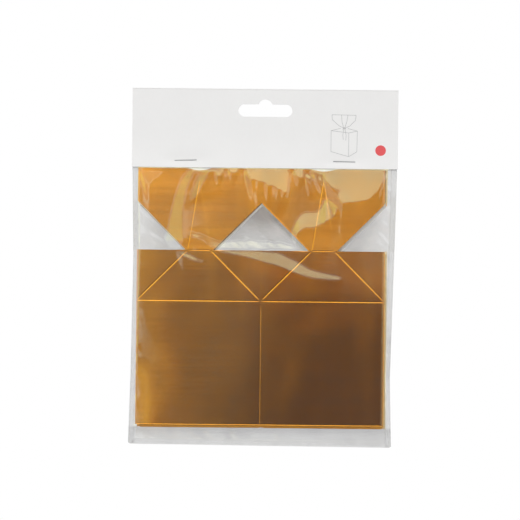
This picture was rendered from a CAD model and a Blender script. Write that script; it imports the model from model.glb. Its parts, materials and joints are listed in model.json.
# Gold favor boxes, folded flat, in a clear hang bag with a stapled header card
# Metres, in the CAD's frame: +X right, +Z up to the header's fold, the front faces -Y
import json
import math
import bmesh
import bpy
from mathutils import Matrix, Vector, noise

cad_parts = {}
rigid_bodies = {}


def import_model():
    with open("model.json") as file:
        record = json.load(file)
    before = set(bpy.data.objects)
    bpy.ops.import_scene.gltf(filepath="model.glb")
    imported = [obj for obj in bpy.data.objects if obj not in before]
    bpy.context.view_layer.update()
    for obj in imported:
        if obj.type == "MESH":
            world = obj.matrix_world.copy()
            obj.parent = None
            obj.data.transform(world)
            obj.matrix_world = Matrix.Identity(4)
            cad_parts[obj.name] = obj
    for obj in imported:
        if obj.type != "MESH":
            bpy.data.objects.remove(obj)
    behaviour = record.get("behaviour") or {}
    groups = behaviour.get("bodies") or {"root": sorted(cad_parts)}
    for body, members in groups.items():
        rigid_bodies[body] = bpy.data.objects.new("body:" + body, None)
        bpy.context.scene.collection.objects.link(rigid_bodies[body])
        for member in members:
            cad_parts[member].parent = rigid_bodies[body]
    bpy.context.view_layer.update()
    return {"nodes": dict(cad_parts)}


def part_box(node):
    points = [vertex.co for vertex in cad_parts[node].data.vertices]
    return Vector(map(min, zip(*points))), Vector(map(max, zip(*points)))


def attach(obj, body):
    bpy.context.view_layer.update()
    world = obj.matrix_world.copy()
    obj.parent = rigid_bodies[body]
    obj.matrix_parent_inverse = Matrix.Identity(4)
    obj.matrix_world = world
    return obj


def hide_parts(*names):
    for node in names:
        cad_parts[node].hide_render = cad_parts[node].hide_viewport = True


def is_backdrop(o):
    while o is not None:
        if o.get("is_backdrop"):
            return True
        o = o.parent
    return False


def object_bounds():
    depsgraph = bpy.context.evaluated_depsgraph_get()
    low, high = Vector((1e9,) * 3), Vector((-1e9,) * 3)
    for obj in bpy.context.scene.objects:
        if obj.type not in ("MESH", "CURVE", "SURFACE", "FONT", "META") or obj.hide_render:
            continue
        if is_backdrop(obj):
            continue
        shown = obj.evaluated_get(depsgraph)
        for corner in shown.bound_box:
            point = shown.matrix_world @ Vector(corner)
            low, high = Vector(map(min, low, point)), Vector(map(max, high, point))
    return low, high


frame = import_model()
mm = 0.001  # lengths in the plans below are millimetres
mergeGap = 0.01 * mm
print("frame loaded:", len(frame["nodes"]), "nodes")


def clearSelection():
    if bpy.context.mode != "OBJECT":
        bpy.ops.object.mode_set(mode="OBJECT")
    bpy.ops.object.select_all(action="DESELECT")


def pick(piece):
    clearSelection()
    piece.select_set(True)
    bpy.context.view_layer.objects.active = piece


def settle(piece):
    pick(piece)
    bpy.ops.object.transform_apply(location=True, rotation=True, scale=True)


def applyModifiers(piece):
    pick(piece)
    for modifier in list(piece.modifiers):
        bpy.ops.object.modifier_apply(modifier=modifier.name)


def editAll(piece, step, **values):  # one edit mode operator on the whole mesh
    pick(piece)
    bpy.ops.object.mode_set(mode="EDIT")
    bpy.ops.mesh.select_all(action="SELECT")
    step(**values)
    bpy.ops.object.mode_set(mode="OBJECT")


def addWall(piece, thickness):  # gives a sheet its thickness, inward from its outer face
    wall = piece.modifiers.new("wall", "SOLIDIFY")
    wall.thickness = thickness * mm
    wall.offset = -1
    return wall


def smoothByAngle(piece, degrees):
    pick(piece)
    bpy.ops.object.shade_smooth_by_angle(angle=math.radians(degrees))


def ease(share):
    share = min(max(share, 0.0), 1.0)
    return share * share * (3 - 2 * share)


def readRow(rows, at, column):  # value of an outline's column between its rows
    if at <= rows[0][0]:
        return rows[0][column]
    for before, after in zip(rows, rows[1:]):
        if at <= after[0]:
            share = (at - before[0]) / (after[0] - before[0])
            return before[column] + (after[column] - before[column]) * share
    return rows[-1][column]


def uprightGrid(name, width, height, cell):  # a grid that faces the camera, centred on the origin
    clearSelection()
    bpy.ops.mesh.primitive_grid_add(
        x_subdivisions=max(round(width / cell), 1), y_subdivisions=max(round(height / cell), 1),
        size=1, rotation=(math.pi / 2, 0, 0))
    piece = bpy.context.active_object
    piece.name = piece.data.name = name
    piece.scale = (width, height, 1)
    settle(piece)
    return piece


# Camera
cameraPlan = {
    "middle": (-2.17, -84.3), "distance": 1600.0, "frameWidth": 293.5, "roll": -0.6, "sensor": 36.0,
}

clearSelection()
bpy.ops.object.camera_add(
    location=(cameraPlan["middle"][0] * mm, -cameraPlan["distance"] * mm, cameraPlan["middle"][1] * mm),
    rotation=(math.pi / 2, math.radians(cameraPlan["roll"]), 0))
camera = bpy.context.active_object
camera.name = "camera"
camera.data.sensor_width = cameraPlan["sensor"]
camera.data.lens = cameraPlan["sensor"] * cameraPlan["distance"] / cameraPlan["frameWidth"]
bpy.context.scene.camera = camera
bpy.context.scene.view_settings.view_transform = "Standard"


def newMaterial(name):
    material = bpy.data.materials.new(name)
    material.use_nodes = True
    material.node_tree.nodes.clear()
    return material


def addNode(tree, kind, **values):
    node = tree.nodes.new(kind)
    for key, value in values.items():
        setattr(node, key, value)
    return node


def setInputs(node, values):
    for key, value in values.items():
        node.inputs[key].default_value = value
    return node


def plug(tree, value, socket):  # links an output, or sets a plain value
    if isinstance(value, bpy.types.NodeSocket):
        tree.links.new(value, socket)
    else:
        socket.default_value = value


def addMath(tree, operation, first, *others, clamp=False):  # of more than two, it works from the left
    for other in others:
        node = addNode(tree, "ShaderNodeMath", operation=operation, use_clamp=clamp)
        plug(tree, first, node.inputs[0])
        plug(tree, other, node.inputs[1])
        first = node.outputs[0]
    return first


def times(tree, *values, clamp=False):
    return addMath(tree, "MULTIPLY", *values, clamp=clamp)


def plus(tree, *values, clamp=False):
    return addMath(tree, "ADD", *values, clamp=clamp)


def remainder(tree, share):  # what the share leaves of one
    return addMath(tree, "SUBTRACT", 1.0, share)


def unsigned(tree, value):
    node = addNode(tree, "ShaderNodeMath", operation="ABSOLUTE")
    tree.links.new(value, node.inputs[0])
    return node.outputs[0]


def addRange(tree, value, low, high, toLow=0, toHigh=1, smooth=True):
    node = addNode(tree, "ShaderNodeMapRange", interpolation_type="SMOOTHSTEP" if smooth else "LINEAR")
    setInputs(node, {"From Min": low, "From Max": high, "To Min": toLow, "To Max": toHigh})
    tree.links.new(value, node.inputs["Value"])
    return node.outputs["Result"]


def riseOver(tree, value, span, toLow=0, toHigh=1):  # the span is in millimetres
    return addRange(tree, value, span[0] * mm, span[1] * mm, toLow, toHigh)


def between(tree, value, span):  # rises over the span's first two values and falls over its last two
    return times(tree, riseOver(tree, value, span[:2]), riseOver(tree, value, span[2:], 1, 0))


def addMix(tree, factor, first, second):  # mixes two colours
    node = addNode(tree, "ShaderNodeMix", data_type="RGBA")
    for name, value in (("Factor_Float", factor), ("A_Color", first), ("B_Color", second)):
        plug(tree, value, next(socket for socket in node.inputs if socket.identifier == name))
    return next(socket for socket in node.outputs if socket.identifier == "Result_Color")


def addNoise(tree, vector, scale, detail, stretch=None):
    if stretch:
        mapping = setInputs(addNode(tree, "ShaderNodeMapping"), {"Scale": stretch})
        tree.links.new(vector, mapping.inputs["Vector"])
        vector = mapping.outputs[0]
    node = setInputs(addNode(tree, "ShaderNodeTexNoise"), {"Detail": detail})
    tree.links.new(vector, node.inputs["Vector"])
    plug(tree, scale, node.inputs["Scale"])
    return node.outputs["Fac"]


def addRamp(tree, value, stops):
    ramp = addNode(tree, "ShaderNodeValToRGB")
    for index, (at, tone) in enumerate(stops):
        element = ramp.color_ramp.elements[index] if index < 2 else ramp.color_ramp.elements.new(at)
        element.position = at
        element.color = (*tone, 1)
    tree.links.new(value, ramp.inputs["Fac"])
    return ramp.outputs["Color"]


def objectPlace(tree):
    return addNode(tree, "ShaderNodeTexCoord").outputs["Object"]


def splitUp(tree, vector):  # the vector's X, Y and Z, by name
    node = addNode(tree, "ShaderNodeSeparateXYZ")
    tree.links.new(vector, node.inputs[0])
    return node.outputs


def layOut(tree, acrossStep=220, downStep=180):  # sets each node to the right of those that feed it
    columns = {}
    for node in sorted(tree.nodes, key=lambda node: node.type == "GROUP_OUTPUT"):
        feeding = [columns.get(link.from_node.name, -1) for link in tree.links if link.to_node == node]
        columns[node.name] = max(feeding, default=-1) + 1
        row = list(columns.values()).count(columns[node.name])
        node.location = (acrossStep * columns[node.name], -downStep * row)


def showShader(tree, shader, kind="ShaderNodeOutputMaterial"):
    tree.links.new(shader.outputs[0], addNode(tree, kind).inputs["Surface"])
    layOut(tree)


# The world is white to the camera and plain to diffuse rays
# Glossy rays see a bright sweep above and to the left
worldPlan = {
    "diffuse": 0.74, "white": (0.52, 0.345), "across": (-0.04, 0.0), "sweep": 2.35,
    "sweepTone": (1.0, 1.0, 0.68, 1), "leftTone": (0.92, 1.0, 0.45, 1),
    "above": (0.055, 0.102), "leftward": (-0.09, -0.15), "leftShare": 0.62,
    "far": (0.2, 0.4), "farLevel": 1.12,
}
white = (1, 1, 1, 1)
world = bpy.data.worlds.new("studio")
world.use_nodes = True
bpy.context.scene.world = world
tree = world.node_tree
tree.nodes.clear()
rays = addNode(tree, "ShaderNodeLightPath").outputs
split = splitUp(tree, addNode(tree, "ShaderNodeTexCoord").outputs["Generated"])
shiny = plus(tree, rays["Is Glossy Ray"], rays["Is Transmission Ray"], clamp=True)
skyward = addRange(tree, split["Z"], *worldPlan["above"])
sideward = addRange(tree, split["X"], *worldPlan["leftward"])
swept = addMath(tree, "MAXIMUM", skyward, times(tree, sideward, worldPlan["leftShare"]))
level = addRange(tree, split["X"], *worldPlan["across"], *worldPlan["white"])
lift = times(tree, swept, worldPlan["sweep"] - worldPlan["white"][0])
sweep = plus(tree, level, lift)
outward = addMath(tree, "MAXIMUM", unsigned(tree, split["X"]), split["Z"])
nearby = addRange(tree, outward, *worldPlan["far"], 1, 0)
farther = times(tree, remainder(tree, nearby), worldPlan["farLevel"])
sweep = plus(tree, times(tree, sweep, nearby), farther)
seen = plus(tree, times(tree, shiny, sweep), rays["Is Camera Ray"])
direct = plus(tree, shiny, rays["Is Camera Ray"], clamp=True)
lit = times(tree, remainder(tree, direct), worldPlan["diffuse"])
tint = white
for part, tone in ((swept, worldPlan["sweepTone"]), (sideward, worldPlan["leftTone"])):
    reached = times(tree, shiny, times(tree, part, nearby), clamp=True)
    tint = addMix(tree, reached, tint, tone)
background = addNode(tree, "ShaderNodeBackground")
tree.links.new(tint, background.inputs["Color"])
tree.links.new(plus(tree, seen, lit), background.inputs["Strength"])
showShader(tree, background, "ShaderNodeOutputWorld")

# Floor, far enough below that the pack hangs free
floorPlan = {
    "height": -600.0, "width": 18000.0, "front": -14000.0, "back": 3600.0, "lift": 0.16, "grain": 40.0,
    "dark": (0.86, 0.86, 0.86, 1), "light": (0.9, 0.9, 0.9, 1),
}
clearSelection()
bpy.ops.mesh.primitive_plane_add(
    size=1, location=(0, (floorPlan["front"] + floorPlan["back"]) / 2 * mm, floorPlan["height"] * mm))
floor = bpy.context.active_object
floor.name = "floor"
floor.scale = (floorPlan["width"] * mm, (floorPlan["back"] - floorPlan["front"]) * mm, 1)
settle(floor)
floor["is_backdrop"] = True
floorPaint = newMaterial("floorPaint")
tree = floorPaint.node_tree
rays = addNode(tree, "ShaderNodeLightPath").outputs
grain = addNoise(tree, objectPlace(tree), floorPlan["grain"], detail=3.0)
matte = addNode(tree, "ShaderNodeBsdfDiffuse")
tree.links.new(addMix(tree, grain, floorPlan["dark"], floorPlan["light"]), matte.inputs["Color"])
glow = addNode(tree, "ShaderNodeEmission")
tree.links.new(times(tree, rays["Is Camera Ray"], floorPlan["lift"]), glow.inputs["Strength"])
both = addNode(tree, "ShaderNodeAddShader")
for index, shader in enumerate((matte, glow)):
    tree.links.new(shader.outputs[0], both.inputs[index])
showShader(tree, both)
floor.data.materials.append(floorPaint)

# Dark card behind the camera, which the flat gold mirrors
cardPlan = {
    "left": -205.0, "right": 1050.0, "bottom": -595.0, "top": 0.0, "distance": 1650.0,
    "span": (-150.0, 150.0), "levels": (-250.0, -190.0, -150.0, -92.0), "fadeTop": (-45.0, -24.0),
    "band": (-84.0, -62.0), "bandTone": (0.26, 0.25, 0.24, 1),
    "fadeLeft": (-138.0, -200.0), "leftTone": (1.14, 1.3, 1.27, 1),
}
# Place across the card, then its tone low down, half way and high up
cardTones = [
    (-130, (0.43, 0.3, 0.175), (0.32, 0.255, 0.185), (0.33, 0.265, 0.21)),
    (-100, (0.31, 0.25, 0.155), (0.27, 0.23, 0.17), (0.33, 0.27, 0.205)),
    (-71, (0.225, 0.215, 0.175), (0.265, 0.24, 0.185), (0.28, 0.25, 0.195)),
    (-30, (0.16, 0.155, 0.15), (0.265, 0.245, 0.20), (0.295, 0.25, 0.195)),
    (22, (0.105, 0.09, 0.10), (0.13, 0.105, 0.10), (0.33, 0.24, 0.20)),
    (73, (0.105, 0.09, 0.10), (0.105, 0.09, 0.09), (0.53, 0.37, 0.28)),
    (124, (0.125, 0.105, 0.11), (0.115, 0.095, 0.095), (0.46, 0.35, 0.29)),
]


def glossyOnly(name, width, height, place, turn=(0, 0, 0)):  # a stage card that shows only in reflections
    clearSelection()
    bpy.ops.mesh.primitive_plane_add(size=1, location=[value * mm for value in place], rotation=turn)
    card = bpy.context.active_object
    card.name = name
    card.scale = (width * mm, height * mm, 1)
    settle(card)
    card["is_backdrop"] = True
    for kind in ("camera", "diffuse", "transmission", "volume_scatter", "shadow"):
        setattr(card, "visible_" + kind, False)
    return card


def glowWith(tree, tone):
    glow = addNode(tree, "ShaderNodeEmission")
    tree.links.new(tone, glow.inputs["Color"])
    showShader(tree, glow)


cardMiddle = ((cardPlan["left"] + cardPlan["right"]) / 2, (cardPlan["bottom"] + cardPlan["top"]) / 2)
studioCard = glossyOnly(
    "studioCard", cardPlan["right"] - cardPlan["left"], cardPlan["top"] - cardPlan["bottom"],
    (cardMiddle[0], -cardPlan["distance"], cardMiddle[1]), (-math.pi / 2, 0, 0))
darkCard = newMaterial("darkCard")
tree = darkCard.node_tree
split = splitUp(tree, objectPlace(tree))
span, levels = cardPlan["span"], cardPlan["levels"]
across = addRange(tree, split["X"], span[0] * mm, span[1] * mm, smooth=False)
ramps = [addRamp(tree, across, [((row[0] - span[0]) / (span[1] - span[0]), row[level]) for row in cardTones])
         for level in (1, 2, 3)]
tone = addMix(tree, riseOver(tree, split["Z"], levels[:2]), ramps[0], ramps[1])
tone = addMix(tree, riseOver(tree, split["Z"], levels[2:]), tone, ramps[2])
tone = addMix(tree, riseOver(tree, split["Z"], cardPlan["band"]), tone, cardPlan["bandTone"])
tone = addMix(tree, riseOver(tree, split["Z"], cardPlan["fadeTop"]), tone, white)
glowWith(tree, addMix(tree, riseOver(tree, split["X"], cardPlan["fadeLeft"]), tone, cardPlan["leftTone"]))
studioCard.data.materials.append(darkCard)

# Darker card low down, for what faces the floor
lowCardPlan = {
    "width": 1040.0, "length": 1500.0, "forward": 850.0, "lift": 3.0, "cloud": 3.0, "aside": (300.0, 520.0),
    "tone": (0.1, 0.085, 0.075, 1), "cloudTone": (0.16, 0.14, 0.12, 1), "asideTone": (0.8, 0.79, 0.77, 1),
}
floorCard = glossyOnly("floorCard", lowCardPlan["width"], lowCardPlan["length"],
                       (0, -lowCardPlan["forward"], floorPlan["height"] + lowCardPlan["lift"]))
duskCard = newMaterial("duskCard")
tree = duskCard.node_tree
place = objectPlace(tree)
cloud = addNoise(tree, place, lowCardPlan["cloud"], detail=2.0)
tone = addMix(tree, cloud, lowCardPlan["tone"], lowCardPlan["cloudTone"])
aside = riseOver(tree, unsigned(tree, splitUp(tree, place)["X"]), lowCardPlan["aside"])
glowWith(tree, addMix(tree, aside, tone, lowCardPlan["asideTone"]))
floorCard.data.materials.append(duskCard)

# Soft box, high on the left
lampPlan = {"place": (-500.0, -1600.0, 1500.0), "aim": (0.0, 0.0, -90.0), "size": 1200.0, "watts": 12.0}
clearSelection()
bpy.ops.object.light_add(type="AREA", location=[value * mm for value in lampPlan["place"]])
softBox = bpy.context.active_object
softBox.name = "softBox"
softBox.data.size = lampPlan["size"] * mm
softBox.data.energy = lampPlan["watts"]
aim = Vector([value * mm for value in lampPlan["aim"]]) - softBox.location
softBox.rotation_euler = aim.to_track_quat("-Z", "Y").to_euler()
print("camera, world, floor and lamp set")


# Materials
def makeGroup(name, inputs, outputs):  # an input with four values is a colour, and so is the output Color
    group = bpy.data.node_groups.new(name, "ShaderNodeTree")
    for label, value in inputs.items():
        kind = "NodeSocketColor" if isinstance(value, tuple) else "NodeSocketFloat"
        group.interface.new_socket(label, in_out="INPUT", socket_type=kind).default_value = value
    for label in outputs:
        kind = "NodeSocketColor" if label == "Color" else "NodeSocketFloat"
        group.interface.new_socket(label, in_out="OUTPUT", socket_type=kind)
    return group, addNode(group, "NodeGroupInput").outputs, addNode(group, "NodeGroupOutput").inputs


def giveOut(tree, sockets, values):
    for label, value in values.items():
        tree.links.new(value, sockets[label])
    layOut(tree)


# Paper: fibres, mottled tone and a slight tooth
paperPlan = {
    "clouds": 55.0, "fibreStretch": (1.0, 1.0, 0.35), "tooth": 0.6, "roughness": (0.2, 0.8, 0.6, 0.75),
}
paperGroup, paperIn, paperOut = makeGroup(
    "paperSurface",
    {"Tone": (0.9, 0.9, 0.9, 1), "Shade": (0.8, 0.8, 0.8, 1), "Fibre Scale": 900.0, "Mottle": 0.3},
    ("Color", "Height", "Roughness"))
tree = paperGroup
place = objectPlace(tree)
fibres = addNoise(tree, place, paperIn["Fibre Scale"], detail=4.0, stretch=paperPlan["fibreStretch"])
clouds = addNoise(tree, place, paperPlan["clouds"], detail=3.0)
mottle = times(tree, clouds, paperIn["Mottle"])
speck = times(tree, fibres, paperIn["Mottle"])
amount = plus(tree, mottle, speck, clamp=True)
giveOut(tree, paperOut, {
    "Color": addMix(tree, amount, paperIn["Tone"], paperIn["Shade"]),
    "Height": times(tree, fibres, paperPlan["tooth"]),
    "Roughness": addRange(tree, clouds, *paperPlan["roughness"]),
})

# One column of a box's blank: a panel with its shoulder, gussets and petal
blank = {
    "panelW": 70.0, "panelH": 70.0, "foldR": 0.7, "neckW": 13.0, "neckCutW": 15.8, "petalH": 47.3,
    "tipH": 40.5, "petalLean": 0.7, "dipW": 18.0, "dipH": 2.3, "dipSteps": 12, "dipReach": 0.9, "cardT": 0.3,
    "cell": 4.05, "smoothAngle": 32,
}
shoulderH = (blank["panelW"] - blank["neckW"]) / 2
neckZ = blank["panelH"] + shoulderH
notchW = (blank["panelW"] - blank["neckCutW"]) / 2  # the openings between the petals are cut at 45 degrees
topZ = neckZ + blank["petalH"]
foldU = blank["panelW"] - blank["foldR"]


# Gives the distances across from the box's middle, above its neck and in from the openings' cut edges
def openingInset(tree, split, middle, shoulderTop):
    fromMiddle = addMath(tree, "SUBTRACT", split["X"], middle)
    away = unsigned(tree, fromMiddle)
    nearest = addMath(tree, "MINIMUM", away, addMath(tree, "SUBTRACT", blank["panelW"] * mm, away))
    risen = addMath(tree, "SUBTRACT", split["Z"], shoulderTop)
    inside = addMath(tree, "SUBTRACT", notchW * mm, plus(tree, nearest, risen))
    return fromMiddle, risen, inside


# Gold laminate: slow waves from the board below, fine orange peel, rubbed patches and a faint grain across
foilPlan = {
    "peel": 1400.0, "peelDepth": 0.008,
    "rubs": 60.0, "rubStretch": (1.0, 1.0, 0.3), "rubRange": (0.45, 0.75, 0.0, 0.35), "rubRoughness": 0.12,
    "grain": 55.0, "grainStretch": (0.25, 1.0, 22.0), "grainRange": (0.35, 0.65),
}
# Where the rear petals' cut edges are rubbed white: in from the cut, and across from the box's middle
rimPlan = {
    "tone": (0.97, 0.96, 0.93, 1), "roughness": 0.7, "neck": (-0.1, 0.1),
    "right": (-3.0, -2.6), "rightSpan": (36.0, 43.0, 71.0, 72.0),
    "left": (-1.9, -1.2), "leftSpan": (-30.0, -27.0, 0.0, 0.5),
}
foilGroup, foilIn, foilOut = makeGroup(
    "foilSurface",
    {"Gold": (0.93, 0.42, 0.06, 1), "Worn": (0.9, 0.5, 0.13, 1), "Deep": (0.85, 0.38, 0.036, 1),
     "Wave Scale": 30.0, "Polish": 0.1, "Rim": 0.0},
    ("Color", "Height", "Roughness", "Metallic"))
tree = foilGroup
place = objectPlace(tree)
fromMiddle, risen, inside = openingInset(
    tree, splitUp(tree, place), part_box("far_outer_right_panel")[0].x,
    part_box("far_outer_right_shoulder")[1].z)
rims = [times(tree, riseOver(tree, inside, rimPlan[side]), between(tree, fromMiddle, rimPlan[side + "Span"]))
        for side in ("right", "left")]
aboveNeck = riseOver(tree, risen, rimPlan["neck"])
rim = times(tree, addMath(tree, "MAXIMUM", *rims), aboveNeck, foilIn["Rim"])
waves = addNoise(tree, place, foilIn["Wave Scale"], detail=1.0)
peel = addNoise(tree, place, foilPlan["peel"], detail=2.0)
rubs = addNoise(tree, place, foilPlan["rubs"], detail=4.0, stretch=foilPlan["rubStretch"])
worn = addRange(tree, rubs, *foilPlan["rubRange"])
streaks = addNoise(tree, place, foilPlan["grain"], detail=3.0, stretch=foilPlan["grainStretch"])
tone = addMix(tree, worn, foilIn["Gold"], foilIn["Worn"])
tone = addMix(tree, addRange(tree, streaks, *foilPlan["grainRange"]), tone, foilIn["Deep"])
gloss = plus(tree, foilIn["Polish"], times(tree, worn, foilPlan["rubRoughness"]))
giveOut(tree, foilOut, {
    "Color": addMix(tree, rim, tone, rimPlan["tone"]),
    "Height": plus(tree, waves, times(tree, peel, foilPlan["peelDepth"])),
    "Roughness": plus(tree, gloss, times(tree, rim, rimPlan["roughness"])),
    "Metallic": remainder(tree, rim),
})

# Film: faint dust, scuffs that dull the gloss, and a greyer cast where it clings in the card's openings
filmPlan = {
    "dust": 90.0, "dustRange": (0.35, 0.8), "haze": 0.03, "scuffs": 220.0, "scuffStretch": (1.0, 1.0, 0.15),
    "scuffRange": (0.5, 0.8, 0.035, 0.12), "weld": (0.474, 0.484),
    "clingX": (50.0, 70.0), "clingTop": (-78.0, -50.0), "clingLow": 0.35,
    "cuts": (-0.5, 1.5), "neck": (-0.5, 0.5), "eaves": (-33.6, -31.8), "eavesShare": 0.3,
    "foot": (-0.5, 0.5), "footCling": (-6.0, -0.5), "footShares": (0.14, 0.42),
    "apex": (-1.7, 0.0, -52.0), "apexReach": (4.0, 20.0), "apexShare": 1.35,
    "tone": (0.1, 0.1, 0.098, 1), "weldTone": (0.3, 0.3, 0.3, 1), "openTone": (0.09, 0.06, 0.01, 1),
    "apexTone": (0.11, 0.05, 0.02, 1),
}
# The front film's pale hem, where it folds over the boxes' right edges
hemPlan = {
    "tone": (1.0, 0.86, 0.42, 1), "tint": 8.0, "strip": (66.3, 67.2), "stripLevel": 0.2,
    "side": (68.1, 68.5, 69.2, 69.6),
}
# The darker cast along the right cut edge of the middle opening: in from the cut, and across
shadePlan = {"inward": (0.0, 5.0), "across": (3.0, 14.0, 29.0, 36.0), "level": 1.2}
shoulderTop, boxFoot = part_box("near_outer_right_shoulder")[1].z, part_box("far_outer_right_panel")[0].z
filmGroup, filmIn, filmOut = makeGroup(
    "filmSurface", {"Clear": 0.12, "Cling": 0.0, "Weld": 0.2, "Hem": 0.0}, ("Color", "Alpha", "Roughness"))
tree = filmGroup
texture = addNode(tree, "ShaderNodeTexCoord").outputs
place = texture["Object"]
dust = addNoise(tree, place, filmPlan["dust"], detail=5.0)
scuffs = addNoise(tree, place, filmPlan["scuffs"], detail=3.0, stretch=filmPlan["scuffStretch"])
fromSeam = unsigned(tree, addMath(tree, "SUBTRACT", splitUp(tree, texture["UV"])["X"], 0.5))
weld = addRange(tree, fromSeam, *filmPlan["weld"])
split = splitUp(tree, place)
fromMiddle, risen, inside = openingInset(tree, split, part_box("near_outer_right_panel")[0].x, shoulderTop)
opening = times(tree, riseOver(tree, inside, filmPlan["cuts"]), riseOver(tree, risen, filmPlan["neck"]))
clingX = riseOver(tree, unsigned(tree, split["X"]), filmPlan["clingX"], 1, 0)
clingTop = riseOver(tree, split["Z"], filmPlan["clingTop"], filmPlan["clingLow"])
fromFoot = addMath(tree, "SUBTRACT", split["Z"], boxFoot)
below = riseOver(tree, fromFoot, filmPlan["foot"], 1, 0)
lowest = riseOver(tree, fromFoot, filmPlan["footCling"], *filmPlan["footShares"])
cling = plus(tree, times(tree, clingX, clingTop, opening), times(tree, lowest, below))
flat = addNode(tree, "ShaderNodeCombineXYZ")
for axis in ("X", "Z"):
    tree.links.new(split[axis], flat.inputs[axis])
fromApex = addNode(tree, "ShaderNodeVectorMath", operation="DISTANCE")
tree.links.new(flat.outputs[0], fromApex.inputs[0])
fromApex.inputs[1].default_value = Vector(filmPlan["apex"]) * mm
shadow = riseOver(tree, fromApex.outputs["Value"], filmPlan["apexReach"], 1, 0)
darker = addRange(tree, shadow, 0, 1, 1, filmPlan["apexShare"], smooth=False)
beside = times(tree, riseOver(tree, inside, shadePlan["inward"], shadePlan["level"], 0),
               between(tree, fromMiddle, shadePlan["across"]))
cling = times(tree, cling, darker, plus(tree, beside, 1.0))
strip = between(tree, split["X"], (*hemPlan["strip"], *hemPlan["side"][2:]))
side = addMath(tree, "MAXIMUM", between(tree, split["X"], hemPlan["side"]),
               times(tree, strip, hemPlan["stripLevel"]))
free = remainder(tree, addMath(tree, "MAXIMUM", below, opening))
hem = times(tree, side, free, filmIn["Hem"])
haze = times(tree, addRange(tree, dust, *filmPlan["dustRange"]), filmPlan["haze"])
eaves = riseOver(tree, split["Z"], filmPlan["eaves"], 0, filmPlan["eavesShare"])
tone = filmPlan["tone"]
for mask, maskTone in ((weld, "weldTone"), (opening, "openTone"), (shadow, "apexTone")):
    tone = addMix(tree, mask, tone, filmPlan[maskTone])
pale = times(tree, hem, hemPlan["tint"], clamp=True)
giveOut(tree, filmOut, {
    "Color": addMix(tree, pale, tone, hemPlan["tone"]),
    "Alpha": plus(tree, filmIn["Clear"], haze, times(tree, weld, filmIn["Weld"]),
                  times(tree, cling, filmIn["Cling"]), hem, eaves),
    "Roughness": addRange(tree, scuffs, *filmPlan["scuffRange"]),
})

# Wire: drawn lines along its length over bright zinc
wirePlan = {"lines": 3000.0, "stretch": (0.05, 1.0, 1.0), "roughness": (0.3, 0.7, 0.25, 0.42)}
wireGroup, wireIn, wireOut = makeGroup(
    "wireSurface", {"Zinc": (0.36, 0.37, 0.39, 1), "Dull": (0.24, 0.24, 0.26, 1)},
    ("Color", "Height", "Roughness"))
tree = wireGroup
drawn = addNoise(tree, objectPlace(tree), wirePlan["lines"], detail=3.0, stretch=wirePlan["stretch"])
giveOut(tree, wireOut, {
    "Color": addMix(tree, drawn, wireIn["Zinc"], wireIn["Dull"]), "Height": drawn,
    "Roughness": addRange(tree, drawn, *wirePlan["roughness"]),
})


def surfaceMaterial(name, group, groupValues, shaderValues, bump=None, outputs=("Color", "Roughness")):
    material = newMaterial(name)
    tree = material.node_tree
    effect = setInputs(addNode(tree, "ShaderNodeGroup", node_tree=group), groupValues)
    shader = setInputs(addNode(tree, "ShaderNodeBsdfPrincipled"), shaderValues)
    for output in outputs:
        tree.links.new(effect.outputs[output], shader.inputs["Base Color" if output == "Color" else output])
    if bump:
        relief = setInputs(addNode(tree, "ShaderNodeBump"), {"Strength": bump[0], "Distance": bump[1]})
        tree.links.new(effect.outputs["Height"], relief.inputs["Height"])
        tree.links.new(relief.outputs[0], shader.inputs["Normal"])
    showShader(tree, shader)
    return material


def paperMaterial(name, tone, shade, fibreScale=2500.0, bump=None, mottle=0.3, **shaderValues):
    values = {"Tone": (*tone, 1), "Shade": (*shade, 1), "Fibre Scale": fibreScale, "Mottle": mottle}
    return surfaceMaterial(name, paperGroup, values, {"Metallic": 0.0, **shaderValues}, bump)


# Strength and depth in metres
foilBump, cardBump, boardBump, wireBump = (0.35, 0.0006), (0.3, 0.0001), (0.15, 0.00008), (0.2, 0.00004)
goldFoil = surfaceMaterial(
    "goldFoil", foilGroup, {"Gold": (0.94, 0.438, 0.042, 1), "Worn": (0.9, 0.46, 0.08, 1), "Polish": 0.1},
    {"Metallic": 1.0}, foilBump)
rubbedFoil = surfaceMaterial(
    "rubbedFoil", foilGroup, {"Gold": (0.94, 0.46, 0.06, 1), "Worn": (0.9, 0.5, 0.1, 1), "Polish": 0.5},
    {"Metallic": 1.0}, foilBump)
shadedFoil = surfaceMaterial(
    "shadedFoil", foilGroup,
    {"Gold": (0.3, 0.12, 0.03, 1), "Worn": (0.4, 0.2, 0.06, 1), "Deep": (0.25, 0.1, 0.03, 1), "Polish": 0.25,
     "Rim": 1.0},
    {}, foilBump, outputs=("Color", "Roughness", "Metallic"))
whiteCard = paperMaterial(
    "whiteCard", (0.88, 0.86, 0.82), (0.74, 0.71, 0.66), fibreScale=900.0, bump=cardBump)
cutCard = paperMaterial("cutCard", (0.9, 0.78, 0.55), (0.75, 0.6, 0.38), bump=cardBump)
bareCore = paperMaterial("bareCore", (0.93, 0.88, 0.78), (0.85, 0.72, 0.5))
headerBoard = paperMaterial(
    "headerBoard", (0.935, 0.93, 0.922), (0.88, 0.874, 0.866), fibreScale=1300.0, bump=boardBump, mottle=0.5,
    IOR=1.45)
greyInk = paperMaterial("greyInk", (0.5, 0.5, 0.5), (0.62, 0.62, 0.62))
redInk = paperMaterial("redInk", (0.84, 0.09, 0.1), (0.75, 0.13, 0.13))
frontFilmPlastic = surfaceMaterial(
    "frontFilmPlastic", filmGroup, {"Clear": 0.115, "Cling": 0.0, "Weld": 0.09, "Hem": 0.42},
    {"Metallic": 0.0, "IOR": 3.7, "Specular IOR Level": 0.75}, outputs=("Color", "Roughness", "Alpha"))
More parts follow.
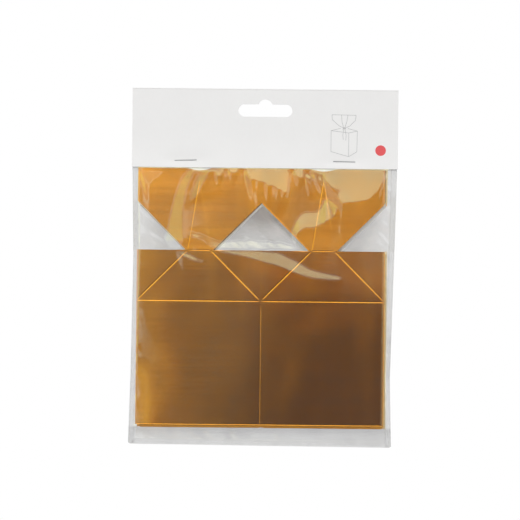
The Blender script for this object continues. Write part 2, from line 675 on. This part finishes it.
backFilmPlastic = surfaceMaterial(
    "backFilmPlastic", filmGroup, {"Clear": 0.1, "Cling": 0.3, "Weld": 0.09},
    {"Metallic": 0.0, "IOR": 3.7, "Specular IOR Level": 0.2}, outputs=("Color", "Roughness", "Alpha"))
for plastic in (frontFilmPlastic, backFilmPlastic):
    plastic.surface_render_method = "BLENDED"
stapleWire = surfaceMaterial("stapleWire", wireGroup, {}, {"Metallic": 0.9}, wireBump)
print("materials made")


# Gold card
creasePlan = {
    "half": 0.27, "floor": 0.07, "guard": 0.5, "depth": 0.06, "fade": 2.2, "stop": 1.4, "cornerStop": 4.2,
    "foot": 0.4, "straightReach": 0.55, "slantReach": 0.5,
}
bowPlan = {"panel": 0.07, "petal": 0.06, "blend": 8.0, "wave": 0.03, "waveSize": 45.0, "waveRise": 4}
cutPlan = {"band": 0.4, "guard": 0.8, "drop": 0.06, "neckFade": 2.0, "turnFrom": 0.1, "bareFrom": 0.3}
# By petal: its creases' depth in the inner and outer half, and how far its left cut edge turns back
petalPlan = {
    "left": {"inner": 0.6, "outer": 1.0, "turn": 1}, "right": {"inner": 1.8, "outer": 0.75, "turn": -0.3},
    "otherTurn": -0.08,
}
edgePlan = {"from": -63.3, "slope": 0.022, "top": 32.0, "fade": 3.0}  # low down, the left edge curls inward


def creaseLines():  # each with its two ends, the lengths left flat there and its share of the depth
    w, h, stop, corner = blank["panelW"], blank["panelH"], creasePlan["stop"], creasePlan["cornerStop"]
    full, foot = -creasePlan["fade"], creasePlan["foot"]
    neckLeft, neckRight, tip = (shoulderH, neckZ), (w - shoulderH, neckZ), (w / 2, neckZ + blank["tipH"])
    return [
        ((0, 0), (0, h), full, stop, 0.7), ((0, h), (0, neckZ), corner, full, 0.5),
        ((0, h), (w, h), stop, stop, 0.9), ((0, h), neckLeft, stop, 0, 1.0),
        ((w, h), neckRight, stop, 0, 1.0), (neckLeft, neckRight, 0, 0, 1.0),
        (neckLeft, tip, 0, 0, 0.5), (neckRight, tip, 0, 0, 0.7),
        (tip, (w / 2, topZ), 0, full, 0.1), ((0, foot), (w, foot), full, full, 1.0),
    ]


def pressed(u, z):  # how deep the crease is at a point of the blank, from 0 to 1
    deepest = 0.0
    for start, end, stopStart, stopEnd, force in creaseLines():
        length = math.dist(start, end)
        du, dz = (end[0] - start[0]) / length, (end[1] - start[1]) / length
        run = (u - start[0]) * du + (z - start[1]) * dz
        off = abs((u - start[0]) * dz - (z - start[1]) * du)
        if off < creasePlan["half"] and -creasePlan["half"] < run < length + creasePlan["half"]:
            ends = ease((run - stopStart) / creasePlan["fade"])
            ends *= ease((length - stopEnd - run) / creasePlan["fade"])
            wall = (creasePlan["half"] - off) / (creasePlan["half"] - creasePlan["floor"])
            deepest = max(deepest, ends * force * min(wall, 1.0))
    return deepest


def selectFaces(piece, test):
    cage = bmesh.from_edit_mesh(piece.data)
    for face in cage.faces:
        face.select_set(test(face.calc_center_median() / mm))
    bmesh.update_edit_mesh(piece.data)


def cutAlong(piece, start, end, offsets, margin):  # bisects the faces round a line of the blank
    length = math.dist(start, end)
    across = Vector((start[1] - end[1], 0, end[0] - start[0])) / length
    lowU, highU = min(start[0], end[0]) - margin, max(start[0], end[0]) + margin
    lowZ, highZ = min(start[1], end[1]) - margin, max(start[1], end[1]) + margin
    for offset in offsets:
        selectFaces(piece, lambda c: lowU < c.x < highU and lowZ < c.z < highZ)
        point = Vector((start[0], 0, start[1])) + across * offset
        bpy.ops.mesh.bisect(plane_co=point * mm, plane_no=across)


def inNotch(c):
    above = c.z - neckZ
    return above > 0 and (c.x + above < notchW or blank["panelW"] - c.x + above < notchW)


def petalInset(x, z):  # distance from the petal's slanting cut edge
    u = abs(x)
    return (min(u, blank["panelW"] - u) + z - neckZ - notchW) / math.sqrt(2)


def facesLeft(x):
    return (x > 0) == (abs(x) < blank["panelW"] / 2)


def makeSleeveFace(name):  # both columns of one outer layer, flat, with its foot on the origin
    sheet = uprightGrid(name, foldU * mm, topZ * mm, blank["cell"] * mm)
    sheet.location = (foldU / 2 * mm, 0, topZ / 2 * mm)
    settle(sheet)
    bpy.ops.object.mode_set(mode="EDIT")
    bpy.ops.mesh.select_mode(type="FACE")
    offsets = [side * creasePlan[key] for key in ("guard", "half", "floor") for side in (-1, 1)]
    for start, end, *_ in creaseLines():
        straight = start[0] == end[0] or start[1] == end[1]
        reach = creasePlan["straightReach" if straight else "slantReach"]
        cutAlong(sheet, start, end, offsets, blank["cell"] * reach)
    w = blank["panelW"]
    cuts = (((0, neckZ), (w, neckZ), -1), ((notchW, neckZ), (0, neckZ + notchW), -1),
            ((w - notchW, neckZ), (w, neckZ + notchW), 1))
    for start, end, side in cuts:
        cutAlong(sheet, start, end, [0, side * cutPlan["band"], side * cutPlan["guard"]], blank["cell"])
    for step in range(blank["dipSteps"] + 1):
        u = w / 2 + blank["dipW"] * (step / blank["dipSteps"] - 0.5)
        cutAlong(sheet, (u, topZ - blank["cell"]), (u, topZ), [0], blank["cell"] * blank["dipReach"])
    selectFaces(sheet, inNotch)
    bpy.ops.mesh.delete(type="FACE")
    bpy.ops.object.mode_set(mode="OBJECT")
    dipR = (blank["dipW"] ** 2 / 4 + blank["dipH"] ** 2) / (2 * blank["dipH"])
    for vertex in sheet.data.vertices:
        u, z = vertex.co.x / mm, vertex.co.z / mm
        vertex.co.y = pressed(u, z) * creasePlan["depth"] * mm
        if 0 <= neckZ - z < cutPlan["band"]:  # the shoulder's top edge turns back beside the neck
            beside = ease((notchW - min(u, w - u)) / cutPlan["neckFade"])
            vertex.co.y += cutPlan["drop"] * beside * (1 - (neckZ - z) / cutPlan["band"]) * mm
        reach = abs(u - w / 2)
        if reach < blank["dipW"] / 2:  # the shallow dip in the petal's top edge
            dip = blank["dipH"] - dipR + math.sqrt(dipR ** 2 - reach ** 2)
            vertex.co.z -= dip * max(0, 1 - (topZ - z) / blank["cell"]) * mm
    mirror = sheet.modifiers.new("mirror", "MIRROR")
    mirror.merge_threshold = mergeGap
    applyModifiers(sheet)
    for vertex in sheet.data.vertices:  # the left petal's left cut edge turns back, the others lift a little
        x, z = vertex.co.x / mm, vertex.co.z / mm
        if z > neckZ + cutPlan["turnFrom"]:
            petal = petalPlan["left" if x < 0 else "right"]
            vertex.co.y *= petal["inner" if abs(x) < w / 2 else "outer"]
            turn = petal["turn"] if facesLeft(x) else petalPlan["otherTurn"]
            vertex.co.y += turn * cutPlan["drop"] * max(0, 1 - petalInset(x, z) / cutPlan["band"]) * mm
    return sheet


def bareEdge(x, z):  # the board's core shows along the left petal's left cut edge
    onCut = z > neckZ + cutPlan["bareFrom"] and petalInset(x, z) < cutPlan["band"]
    return x < 0 and facesLeft(x) and onCut


def standSleeveFace(sheet, node, seed):  # puts the layer where the CAD's panel is, with a slight natural bow
    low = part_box(node)[0]
    bare = [face.index for face in sheet.data.polygons if bareEdge(face.center.x / mm, face.center.z / mm)]
    for vertex in sheet.data.vertices:
        x, z = vertex.co.x / mm, vertex.co.z / mm
        crown = 1 - (2 * abs(x) / blank["panelW"] - 1) ** 2
        petal = ease((z - neckZ) / bowPlan["blend"])
        bow = crown * (bowPlan["panel"] * (1 - petal) + bowPlan["petal"] * petal)
        wave = noise.noise(Vector((x, z, seed)) / bowPlan["waveSize"])
        bow += bowPlan["wave"] * wave * min(1, crown * bowPlan["waveRise"])
        lean = blank["petalLean"] * max(z - neckZ, 0) / blank["petalH"]
        curled = ease((edgePlan["top"] - z) / edgePlan["fade"])
        lean += edgePlan["slope"] * max(edgePlan["from"] - x, 0) * curled
        vertex.co.x += low.x
        vertex.co.y += low.y + (lean - bow) * mm
        vertex.co.z += low.z
    finishes = (goldFoil, whiteCard, cutCard, bareCore)
    for material in finishes:
        sheet.data.materials.append(material)
    for index in bare:
        sheet.data.polygons[index].material_index = finishes.index(bareCore)
    wall = addWall(sheet, blank["cardT"])
    wall.use_even_offset = True
    wall.material_offset = finishes.index(whiteCard)
    wall.material_offset_rim = finishes.index(cutCard)
    applyModifiers(sheet)
    smoothByAngle(sheet, blank["smoothAngle"])


columnPieces = ("panel", "shoulder", "gussets", "flare")
bowSeed = 3.0
nearFace = makeSleeveFace("nearBoxFace")
standSleeveFace(nearFace, "near_outer_right_panel", bowSeed)
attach(nearFace, "near_box")
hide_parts(*[f"near_outer_{side}_{piece}" for side in ("left", "right") for piece in columnPieces])

pick(nearFace)
bpy.ops.object.duplicate()
farFace = bpy.context.active_object
farFace.name = farFace.data.name = "farBoxFace"
nearLow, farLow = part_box("near_outer_right_panel")[0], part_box("far_outer_right_panel")[0]
farFace.scale = (1, -1, 1)
farFace.location = (farLow.x - nearLow.x, 0, farLow.z - nearLow.z)
settle(farFace)
editAll(farFace, bpy.ops.mesh.normals_make_consistent, inside=False)
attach(farFace, "far_box")
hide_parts(*[f"far_outer_{side}_{piece}" for side in ("left", "right") for piece in columnPieces])
print("gold card faces made:", len(nearFace.data.polygons), "faces each")


# Header card
header = {
    "leafY": 0.4, "boardT": 0.3, "cell": 2.2, "bulge": 2.25, "bulgeTop": -12.0, "power": 2.2,
    "pinSide": 7.0, "pinAbove": 6.0, "pinBelow": 1.9, "slotW": 30.4, "slotH": 7.0, "humpW": 8.0,
    "slotRise": 9.8, "foldSteps": 5, "roundSides": 64, "cutDepth": 12.0, "smoothAngle": 30,
}
headerLow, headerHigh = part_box("header_card")
headerFoot, headerTop = headerLow.z / mm, headerHigh.z / mm
staples = []
for node in ("staple_left", "staple_right"):
    low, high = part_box(node)
    staples.append(((low.x + high.x) / 2 / mm, (low.z + high.z) / 2 / mm, (high.x - low.x) / 2 / mm))


def headerBulge(x, z):  # how far a leaf stands out, held flat by the staples
    rise = max((header["bulgeTop"] - z) / (header["bulgeTop"] - headerFoot), 0.0)
    held = 0.0
    for middle, height, half in staples:
        beyond = max(abs(x - middle) - half, 0) / header["pinSide"]
        apart = (z - height) / (header["pinAbove"] if z > height else header["pinBelow"])
        held = max(held, math.exp(-beyond ** 2 - apart ** 2))
    return header["bulge"] * rise ** header["power"] * (1 - held)


leafH = headerTop - header["leafY"] - headerFoot
headerCard = uprightGrid("headerCard", headerHigh.x * 2, leafH * mm, header["cell"] * mm)
headerCard.location = (0, -header["leafY"] * mm, (headerFoot + leafH / 2) * mm)
settle(headerCard)
bpy.ops.object.mode_set(mode="EDIT")
bpy.ops.mesh.select_mode(type="EDGE")
bpy.ops.mesh.select_all(action="DESELECT")
cage = bmesh.from_edit_mesh(headerCard.data)
foldZ = (headerTop - header["leafY"]) * mm
for edge in cage.edges:
    if all(abs(vertex.co.z - foldZ) < mergeGap for vertex in edge.verts):
        edge.select_set(True)
bmesh.update_edit_mesh(headerCard.data)
bpy.ops.mesh.spin(steps=header["foldSteps"], angle=-math.pi / 2, center=(0, 0, foldZ), axis=(1, 0, 0))
bpy.ops.object.mode_set(mode="OBJECT")
mirror = headerCard.modifiers.new("mirror", "MIRROR")
mirror.use_axis = (False, True, False)
mirror.merge_threshold = mergeGap
applyModifiers(headerCard)
for vertex in headerCard.data.vertices:
    vertex.co.y += math.copysign(headerBulge(vertex.co.x / mm, vertex.co.z / mm) * mm, vertex.co.y)
editAll(headerCard, bpy.ops.mesh.normals_make_consistent, inside=False)
if min(headerCard.data.polygons, key=lambda face: face.center.y).normal.y > 0:
    headerCard.data.flip_normals()
addWall(headerCard, header["boardT"])
applyModifiers(headerCard)


def cutThrough(piece, cutter):
    cut = piece.modifiers.new("cut", "BOOLEAN")
    cut.operation = "DIFFERENCE"
    cut.solver = "EXACT"
    cut.object = cutter
    applyModifiers(piece)
    bpy.data.objects.remove(cutter, do_unlink=True)


barX = (header["slotW"] - header["slotH"]) / 2
humpZ = header["slotRise"] - header["slotH"] / 2 - header["humpW"] / 2
for x, z, width in ((-barX, 0, header["slotH"]), (barX, 0, header["slotH"]), (0, humpZ, header["humpW"])):
    clearSelection()
    bpy.ops.mesh.primitive_cylinder_add(
        vertices=header["roundSides"], radius=width / 2 * mm, depth=header["cutDepth"] * mm,
        location=(x * mm, 0, z * mm), rotation=(math.pi / 2, 0, 0))
    cutThrough(headerCard, bpy.context.active_object)
for z, width, height in ((0, 2 * barX, header["slotH"]), (humpZ / 2, header["humpW"], humpZ)):
    clearSelection()
    bpy.ops.mesh.primitive_cube_add(
        size=mm, location=(0, 0, z * mm), scale=(width, header["cutDepth"], height))
    cutThrough(headerCard, bpy.context.active_object)
headerCard.data.materials.clear()
headerCard.data.materials.append(headerBoard)
smoothByAngle(headerCard, header["smoothAngle"])
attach(headerCard, "pack")
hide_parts("header_card")

# Printing: a plain line drawing of a made-up box, and a plain red spot
printPlan = {
    "line": 0.26, "ink": 0.02, "place": (47.2, -25.5), "step": 1.2,
    "spot": (65.2, -21.9), "spotR": 3.0, "spotSides": 48,
}
boxLines = [
    [(-10.0, 2.8), (0.0, 0.0), (4.6, 2.8), (4.8, 14.5), (0.0, 13.4), (-10.0, 14.6), (-10.0, 2.8)],
    [(0.0, 0.0), (0.0, 13.4)],
    [(-10.0, 14.6), (-4.6, 16.0)],
    [(4.8, 14.5), (-0.6, 15.9)],
    [(-2.6, 16.0), (-5.6, 17.4), (-9.4, 20.8), (-9.6, 23.6), (4.0, 23.4), (3.7, 20.6), (0.4, 17.2),
     (-2.6, 16.0)],
    [(-4.2, 23.5), (-3.9, 19.5), (-2.8, 16.0)],
    [(-0.6, 23.5), (-1.2, 19.5), (-2.4, 16.0)],
    [(-3.6, 15.4), (-2.6, 16.2), (-1.4, 15.5)],
    [(-2.8, 16.0), (-3.4, 12.2), (-3.1, 9.6)],
    [(-2.3, 16.0), (-1.5, 12.0), (-1.7, 9.2)],
]


def layInk(piece, material):  # lays flat print on the header's front leaf
    pick(piece)
    for vertex in piece.data.vertices:
        surface = header["leafY"] + headerBulge(vertex.co.x / mm, vertex.co.z / mm)
        vertex.co.y = -(surface + printPlan["ink"]) * mm
    addWall(piece, printPlan["ink"])
    applyModifiers(piece)
    piece.data.materials.append(material)
    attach(piece, "pack")


strokes = []
for path in boxLines:
    for start, end in zip(path, path[1:]):
        length = math.dist(start, end)
        stroke = uprightGrid("stroke", length * mm, printPlan["line"] * mm, printPlan["step"] * mm)
        stroke.rotation_euler = (0, -math.atan2(end[1] - start[1], end[0] - start[0]), 0)
        stroke.location = ((printPlan["place"][0] + (start[0] + end[0]) / 2) * mm, 0,
                           (printPlan["place"][1] + (start[1] + end[1]) / 2) * mm)
        settle(stroke)
        strokes.append(stroke)
clearSelection()
for stroke in strokes:
    stroke.select_set(True)
bpy.context.view_layer.objects.active = strokes[0]
bpy.ops.object.join()
boxDrawing = bpy.context.active_object
boxDrawing.name = boxDrawing.data.name = "boxDrawing"
layInk(boxDrawing, greyInk)
clearSelection()
bpy.ops.mesh.primitive_circle_add(
    vertices=printPlan["spotSides"], radius=printPlan["spotR"] * mm, fill_type="TRIFAN",
    rotation=(math.pi / 2, 0, 0), location=(printPlan["spot"][0] * mm, 0, printPlan["spot"][1] * mm))
redSpot = bpy.context.active_object
redSpot.name = redSpot.data.name = "redSpot"
settle(redSpot)
layInk(redSpot, redInk)
print("header card and its printing made")


# Bag: depth is how far a face of the film stands from the middle plane
bag = {
    "thickness": 0.06, "cell": 0.86, "backCell": 1.6, "mouth": -10.4, "foot": -189.1, "footSlope": 0.006,
    "seam": 0.05, "weld": 0.8, "roll": 2.4, "footRoll": 3.3, "leftCorner": 0.9, "rightCorner": 0.6,
    "depth": 1.79, "puff": 0.36, "puffFrom": -70.0, "puffTo": -34.0, "tuckFrom": -32.2, "tuckTo": -34.6,
    "frontSeed": 1.7, "backSeed": 5.1,
}
# How a swelling rises and settles again: its reach, its soft ends and its ragged outline
swellPlan = {
    "reach": 14.0, "sideReach": 9.0, "reachShare": 0.6, "blurShare": 0.11, "blur": 3.0, "spread": 0.6,
    "settle": 3.0, "evenOver": 0.16, "ragAlong": 2.2, "ragAcross": 9.0, "ragFull": 6.0,
}
# Fine wrinkles, which are deeper by the edges, near the foot and in the card's openings
wrinklePlan = {
    "depth": 0.08, "narrow": 4.0, "long": 14.0, "slowDepth": 0.012, "slowSize": 14.0,
    "edge": 3.0, "fade": 3.0, "footFrom": -180.0, "footShare": 1.8,
    "gapShare": 0.5, "gapFade": 4.0, "gapRise": 2.0,
}
# The bag's edges: height, then left and right
bagEdges = [
    (-190.0, -75.6, 72.9), (-188.7, -75.6, 72.8), (-151.0, -74.6, 71.8), (-82.0, -73.7, 73.6),
    (-34.0, -74.7, 74.7), (-32.4, -74.6, 74.6), (-10.0, -74.2, 74.2),
]
# Places where the film swells towards the light: slope, raggedness, then across, top and bottom of the slope
upRamps = {
    "cornerPuff": (0.019, 1.6, [
        (-71.0, -31.9, -32.8), (-69.9, -31.9, -36.4), (-67.1, -31.9, -41.5), (-64.2, -31.9, -42.3),
        (-61.4, -31.8, -38.6), (-58.0, -31.8, -35.5), (-53.5, -31.8, -32.6)]),
    "tuckA": (0.07, 1.0, [
        (-28.7, -31.5, -32.6), (-27.0, -31.5, -37.1), (-25.3, -31.5, -38.2), (-23.0, -31.4, -33.1)]),
    "tuckB": (0.07, 1.0, [
        (-21.3, -31.4, -32.5), (-19.1, -31.4, -35.3), (-16.3, -31.4, -35.9), (-14.0, -31.3, -32.5)]),
    "middlePuff": (0.07, 2.2, [
        (-12.3, -31.3, -32.4), (-9.5, -31.3, -38.1), (-5.0, -31.2, -39.7), (-1.6, -31.2, -39.7),
        (1.8, -31.2, -42.5), (6.3, -31.1, -43.3), (10.8, -31.1, -46.3), (13.1, -31.1, -46.6),
        (14.5, -31.0, -38.9), (15.3, -31.0, -31.9)]),
    "tuckC": (0.075, 0.8, [
        (15.9, -31.6, -32.7), (17.0, -31.6, -36.7), (19.9, -31.5, -38.3), (21.6, -31.5, -38.3),
        (22.4, -31.5, -33.2)]),
    "rightPuff": (0.07, 1.0, [
        (31.7, -31.4, -32.6), (34.5, -31.4, -39.3), (36.8, -31.4, -42.1), (40.7, -31.3, -47.7),
        (43.6, -31.3, -52.7), (46.4, -31.3, -52.2), (52.6, -31.2, -51.0), (59.4, -31.1, -49.5),
        (64.5, -31.1, -44.1), (67.8, -31.0, -38.4), (69.0, -31.0, -32.2)]),
    "swirl": (0.06, 0, [
        (15.2, -67.7, -68.3), (17.4, -63.8, -70.5), (19.3, -60.3, -68.8), (22.7, -57.3, -66.0),
        (27.5, -57.3, -65.9), (29.7, -57.1, -64.8), (32.8, -53.4, -63.6), (34.7, -49.2, -62.4),
        (37.0, -50.6, -61.6), (40.4, -52.8, -58.4), (43.5, -54.4, -55.0)]),
    "neckFold": (0.044, 0, [
        (-43.5, -68.9, -69.5), (-38.4, -69.7, -73.1), (-33.4, -70.5, -75.6), (-28.3, -72.7, -78.1),
        (-24.9, -74.1, -78.6), (-13.6, -73.4, -78.5), (-2.3, -73.6, -78.6), (9.0, -74.6, -78.5),
        (19.8, -77.3, -78.4)]),
    "longFold": (0.066, 0, [
        (-27.1, -78.9, -79.2), (-19.2, -79.1, -81.1), (-10.7, -79.0, -82.7), (-1.1, -79.2, -85.4),
        (8.0, -79.9, -87.8), (18.2, -84.9, -91.7), (26.1, -89.3, -94.1), (33.5, -91.2, -95.0),
        (41.4, -93.0, -95.2), (45.9, -93.9, -94.2)]),
    "shortFold": (0.055, 0, [
        (-50.2, -79.1, -79.4), (-45.1, -80.5, -82.8), (-40.6, -82.1, -85.0), (-36.0, -84.4, -86.0),
        (-32.6, -85.6, -85.8)]),
}
# Places where it swells to the left: slope, raggedness, then height downwards, left and right of the slope
leftRamps = {
    "bandLeft": (0.054, 0, [
        (-31.6, -42.2, -42.0), (-34.4, -43.9, -39.4), (-39.6, -47.2, -41.6), (-45.2, -49.4, -43.8),
        (-50.9, -51.3, -44.9), (-56.5, -52.4, -45.4), (-62.2, -53.5, -45.3), (-67.8, -54.8, -45.2),
        (-73.5, -55.9, -44.9), (-79.1, -51.9, -47.4)]),
    "bandRight": (0.07, 0, [
        (-31.5, -37.7, -30.4), (-34.4, -38.3, -30.6), (-37.2, -38.2, -32.0), (-42.3, -40.4, -34.8),
        (-48.0, -42.1, -37.3), (-53.1, -42.6, -42.0)]),
    "edgeWedge": (0.008, 0, [
        (-107.6, -71.9, -70.8), (-109.3, -71.9, -67.7), (-121.7, -71.8, -65.1), (-130.7, -71.7, -61.1),
        (-138.5, -70.5, -54.1), (-142.4, -63.7, -51.2), (-145.7, -51.2, -48.9)]),
    "streakA": (0.1, 0, [
        (-35.5, 21.2, 22.6), (-40.0, 21.9, 24.3), (-44.5, 22.9, 25.4), (-50.1, 24.7, 25.7)]),
    "streakB": (0.1, 0, [
        (-31.6, 23.6, 26.6), (-35.0, 24.8, 28.4), (-38.8, 26.1, 30.3), (-44.4, 28.4, 32.6),
        (-48.5, 31.3, 32.7)]),
}
backUpRamps = {
    "acrossFold": (0.06, 0, [
        (-52.0, -96.0, -96.2), (-30.0, -88.0, -92.0), (0.0, -84.0, -91.0), (26.0, -87.0, -92.5),
        (50.0, -97.0, -97.4)]),
    "lowPuff": (0.06, 1.5, [
        (-60.0, -31.5, -32.0), (-42.0, -31.5, -46.0), (-20.0, -31.5, -38.0), (4.0, -31.5, -47.0),
        (30.0, -31.5, -33.0), (47.0, -31.5, -50.0), (66.0, -31.5, -34.0)]),
}
backLeftRamps = {
    "edgeStrip": (0.018, 0, [
        (-95.0, -71.0, -70.6), (-120.0, -71.5, -64.0), (-160.0, -71.8, -66.0), (-178.0, -71.8, -71.0)]),
}


def bagSides(z):
    return readRow(bagEdges, z, 1), readRow(bagEdges, z, 2)


def rollIn(share):
    share = min(max(share, 0.0), 1.0)
    return 1 - (1 - share) ** 2


def swell(ramp, at, across, reach):  # rises over the slope's run, then settles back slowly and more evenly
    slope, ragged, rows = ramp
    low, high = rows[0][0], rows[-1][0]
    if not low <= at <= high:
        return 0.0
    start, end = readRow(rows, at, 1), readRow(rows, at, 2)
    rag = noise.noise(Vector((at / swellPlan["ragAlong"], start / swellPlan["ragAcross"], slope)))
    end += ragged * rag * min(abs(end - start) / swellPlan["ragFull"], 1)
    run, gone = abs(end - start), (across - start) * (1 if end > start else -1)
    if gone <= 0:
        return 0.0
    blur = min(swellPlan["blurShare"] * (high - low), swellPlan["blur"])
    rise = min(gone, run)
    if gone > run:
        near = [at + share * swellPlan["evenOver"] * (high - low) for share in (-1, -0.5, 0, 0.5, 1)]
        even = sum(abs(readRow(rows, place, 2) - readRow(rows, place, 1)) for place in near) / len(near)
        rise = even + (run - even) * math.exp((run - gone) / swellPlan["settle"])
        rise *= math.exp((run - gone) / min(reach, swellPlan["reachShare"] * (high - low)))
    blur += swellPlan["spread"] * max(gone - run, 0)
    return slope * rise * ease((at - low) / blur) * ease((high - at) / blur)


def bagFoot(x, left, right):
    corner = 0.0
    for radius, edge in ((bag["leftCorner"], x - left), (bag["rightCorner"], right - x)):
        corner += radius - math.sqrt(max(radius ** 2 - max(radius - edge, 0) ** 2, 0))
    return bag["foot"] - bag["footSlope"] * x + corner


def filmDepth(x, z, seed, ups, lefts):
    left, right = bagSides(z)
    edge = min(x - left, right - x)
    if z > bag["tuckFrom"]:
        return bag["seam"] + headerBulge(x, z)
    puffed = max((z - bag["puffFrom"]) / (bag["puffTo"] - bag["puffFrom"]), 0)
    depth = bag["depth"] + bag["puff"] * puffed ** 2
    for ramp in ups:
        depth += swell(ramp, x, -z, swellPlan["reach"])
    for ramp in lefts:
        depth += swell(ramp, -z, x, swellPlan["sideReach"])
    across, risen = min(abs(x), blank["panelW"] - abs(x)), z - shoulderTop / mm
    gap = ease((notchW - across - risen) / wrinklePlan["gapFade"]) * ease(risen / wrinklePlan["gapRise"])
    loose = 1 - ease((edge - wrinklePlan["edge"]) / wrinklePlan["fade"])
    loose += wrinklePlan["footShare"] * ease((wrinklePlan["footFrom"] - z) / wrinklePlan["fade"])
    loose += wrinklePlan["gapShare"] * gap
    slow = wrinklePlan["slowDepth"] * noise.noise(Vector((x, z, seed)) / wrinklePlan["slowSize"])
    slant = Vector(((x + z) / wrinklePlan["narrow"], (z - x) / wrinklePlan["long"], seed))
    depth += slow + wrinklePlan["depth"] * loose * noise.noise(slant)
    above = bag["seam"] + headerBulge(x, headerFoot)
    tuck = ease((bag["tuckFrom"] - z) / (bag["tuckFrom"] - bag["tuckTo"]))
    depth = above + (depth - above) * tuck
    foot = bagFoot(x, left, right)
    closing = rollIn((edge - bag["weld"]) / bag["roll"]) * rollIn((z - foot) / bag["footRoll"])
    return bag["seam"] + (depth - bag["seam"]) * closing


def makeFilm(name, side, cell, seed, ups, lefts, material, nodes):
    # A swelling is worked out along and across its slope, with heights counted downwards
    flipped = [(slope, ragged, [(x, -top, -low) for x, top, low in rows])
               for slope, ragged, rows in ups.values()]
    turned = [(slope, ragged, [(-z, left, right) for z, left, right in rows])
              for slope, ragged, rows in lefts.values()]
    width, height = bagEdges[0][2] - bagEdges[0][1], bag["mouth"] - bag["foot"]
    film = uprightGrid(name, width * mm, height * mm, cell * mm)
    for vertex in film.data.vertices:
        shareX, shareZ = vertex.co.x / (width * mm) + 0.5, vertex.co.z / (height * mm) + 0.5
        z = bag["foot"] + shareZ * height
        left, right = bagSides(z)
        x = left + shareX * (right - left)
        foot = bagFoot(x, left, right)
        z = foot + shareZ * (bag["mouth"] - foot)
        vertex.co = Vector((x, side * filmDepth(x, z, seed, flipped, turned), z)) * mm
    if side > 0:
        editAll(film, bpy.ops.mesh.flip_normals)
    addWall(film, bag["thickness"])
    film.data.materials.append(material)
    applyModifiers(film)
    pick(film)
    bpy.ops.object.shade_smooth()
    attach(film, "pack")
    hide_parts(*nodes)
    return film


filmNodes = ("film", "upper_film", "side_film", "bottom_film", "mouth_film")
frontFilm = makeFilm(
    "bagFrontFilm", -1, bag["cell"], bag["frontSeed"], upRamps, leftRamps, frontFilmPlastic,
    [f"bag_front_{piece}" for piece in filmNodes] + ["bag_side_seals"])
backFilm = makeFilm(
    "bagBackFilm", 1, bag["cell"] * bag["backCell"], bag["backSeed"], backUpRamps, backLeftRamps,
    backFilmPlastic, [f"bag_back_{piece}" for piece in filmNodes])
print("bag film made:", len(frontFilm.data.polygons), "and", len(backFilm.data.polygons), "faces")


# CAD nodes that stay
for node, piece in bpy.data.objects.items():
    if node not in frame["nodes"] or piece.hide_render:  # a made piece stands for a hidden node
        continue
    if node.startswith("staple"):
        finish = stapleWire
    elif "glue_tab" in node:
        finish = whiteCard
    elif node.startswith("far_inner"):
        finish = shadedFoil if node.endswith(("flare", "gussets", "shoulder")) else rubbedFoil
    else:
        finish = goldFoil
    piece.data.materials.clear()
    piece.data.materials.append(finish)
    if "_inner_" in node:  # gold on the side turned outward, white board on the other
        piece.data.materials.append(whiteCard)
        inward = -1 if node.startswith("near") else 1
        for face in piece.data.polygons:
            face.material_index = 1 if face.normal.y * inward > 0.5 else 0
print("CAD nodes dressed")

low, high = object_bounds()
